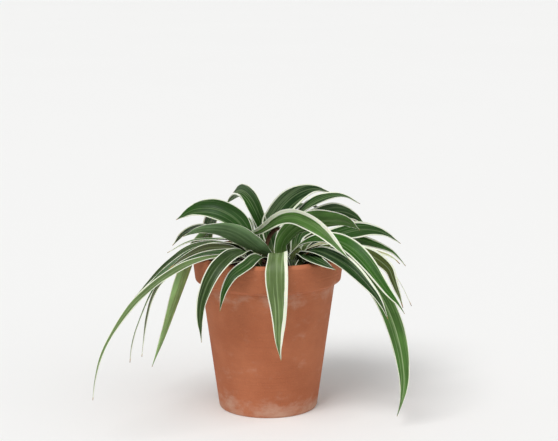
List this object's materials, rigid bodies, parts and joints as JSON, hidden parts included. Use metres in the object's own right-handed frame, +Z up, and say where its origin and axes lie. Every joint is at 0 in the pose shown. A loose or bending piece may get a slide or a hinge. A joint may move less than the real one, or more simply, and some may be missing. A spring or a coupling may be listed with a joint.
{
  "type": "potted spider plant",
  "caption": "Potted spider plant with long arching white-edged leaves spilling over the rim of a plain terracotta pot.",
  "frame": {"origin": "centre of the underside of the box around the whole plant, on the floor under the pot; the pot's own axis stands 7 mm to +X of it", "axes": "+Z up, +X to the right as the picture shows it, +Y away from the viewer of the picture"},
  "size_m": [0.3095, 0.2711, 0.221],
  "materials": {
    "terracotta": "matte",
    "potting_soil": "matte",
    "leaf_sheath": "satin",
    "leaf_green": "satin",
    "leaf_dark": "satin",
    "leaf_grey": "matte",
    "leaf_pale": "satin"
  },
  "bodies": {
    "root": {"leaf_back_far_left": "leaf_dark", "leaf_back_left": "leaf_green", "leaf_back_left_high": "leaf_dark", "leaf_back_middle": "leaf_green", "leaf_back_right": "leaf_dark", "leaf_back_right_high": "leaf_green", "leaf_front_left_long": "leaf_dark", "leaf_front_left_short": "leaf_green", "leaf_front_low": "leaf_grey", "leaf_front_middle": "leaf_green", "leaf_left_brown": "leaf_dark", "leaf_left_fine": "leaf_green", "leaf_left_grey": "leaf_grey", "leaf_left_inner": "leaf_dark", "leaf_left_long": "leaf_green", "leaf_left_lower": "leaf_dark", "leaf_left_middle": "leaf_dark", "leaf_left_olive": "leaf_dark", "leaf_left_pale": "leaf_pale", "leaf_left_top": "leaf_green", "leaf_left_upper": "leaf_dark", "leaf_right_arch": "leaf_green", "leaf_right_back": "leaf_green", "leaf_right_bright": "leaf_green", "leaf_right_broad": "leaf_dark", "leaf_right_cream": "leaf_pale", "leaf_right_dry": "leaf_dark", "leaf_right_fine": "leaf_green", "leaf_right_grey": "leaf_grey", "leaf_right_inner": "leaf_dark", "leaf_right_long": "leaf_green", "leaf_right_low": "leaf_dark", "leaf_right_short": "leaf_green", "leaf_top_back_left": "leaf_green", "leaf_top_back_right": "leaf_dark", "leaf_top_left": "leaf_dark", "leaf_top_left_inner": "leaf_green", "leaf_top_middle": "leaf_green", "leaf_top_right": "leaf_dark", "pot": "terracotta", "shoot_back": "leaf_sheath", "shoot_back_left": "leaf_sheath", "shoot_far_back": "leaf_sheath", "shoot_front": "leaf_sheath", "shoot_left": "leaf_sheath", "shoot_right": "leaf_sheath", "soil": "potting_soil"}
  },
  "joints": []
}
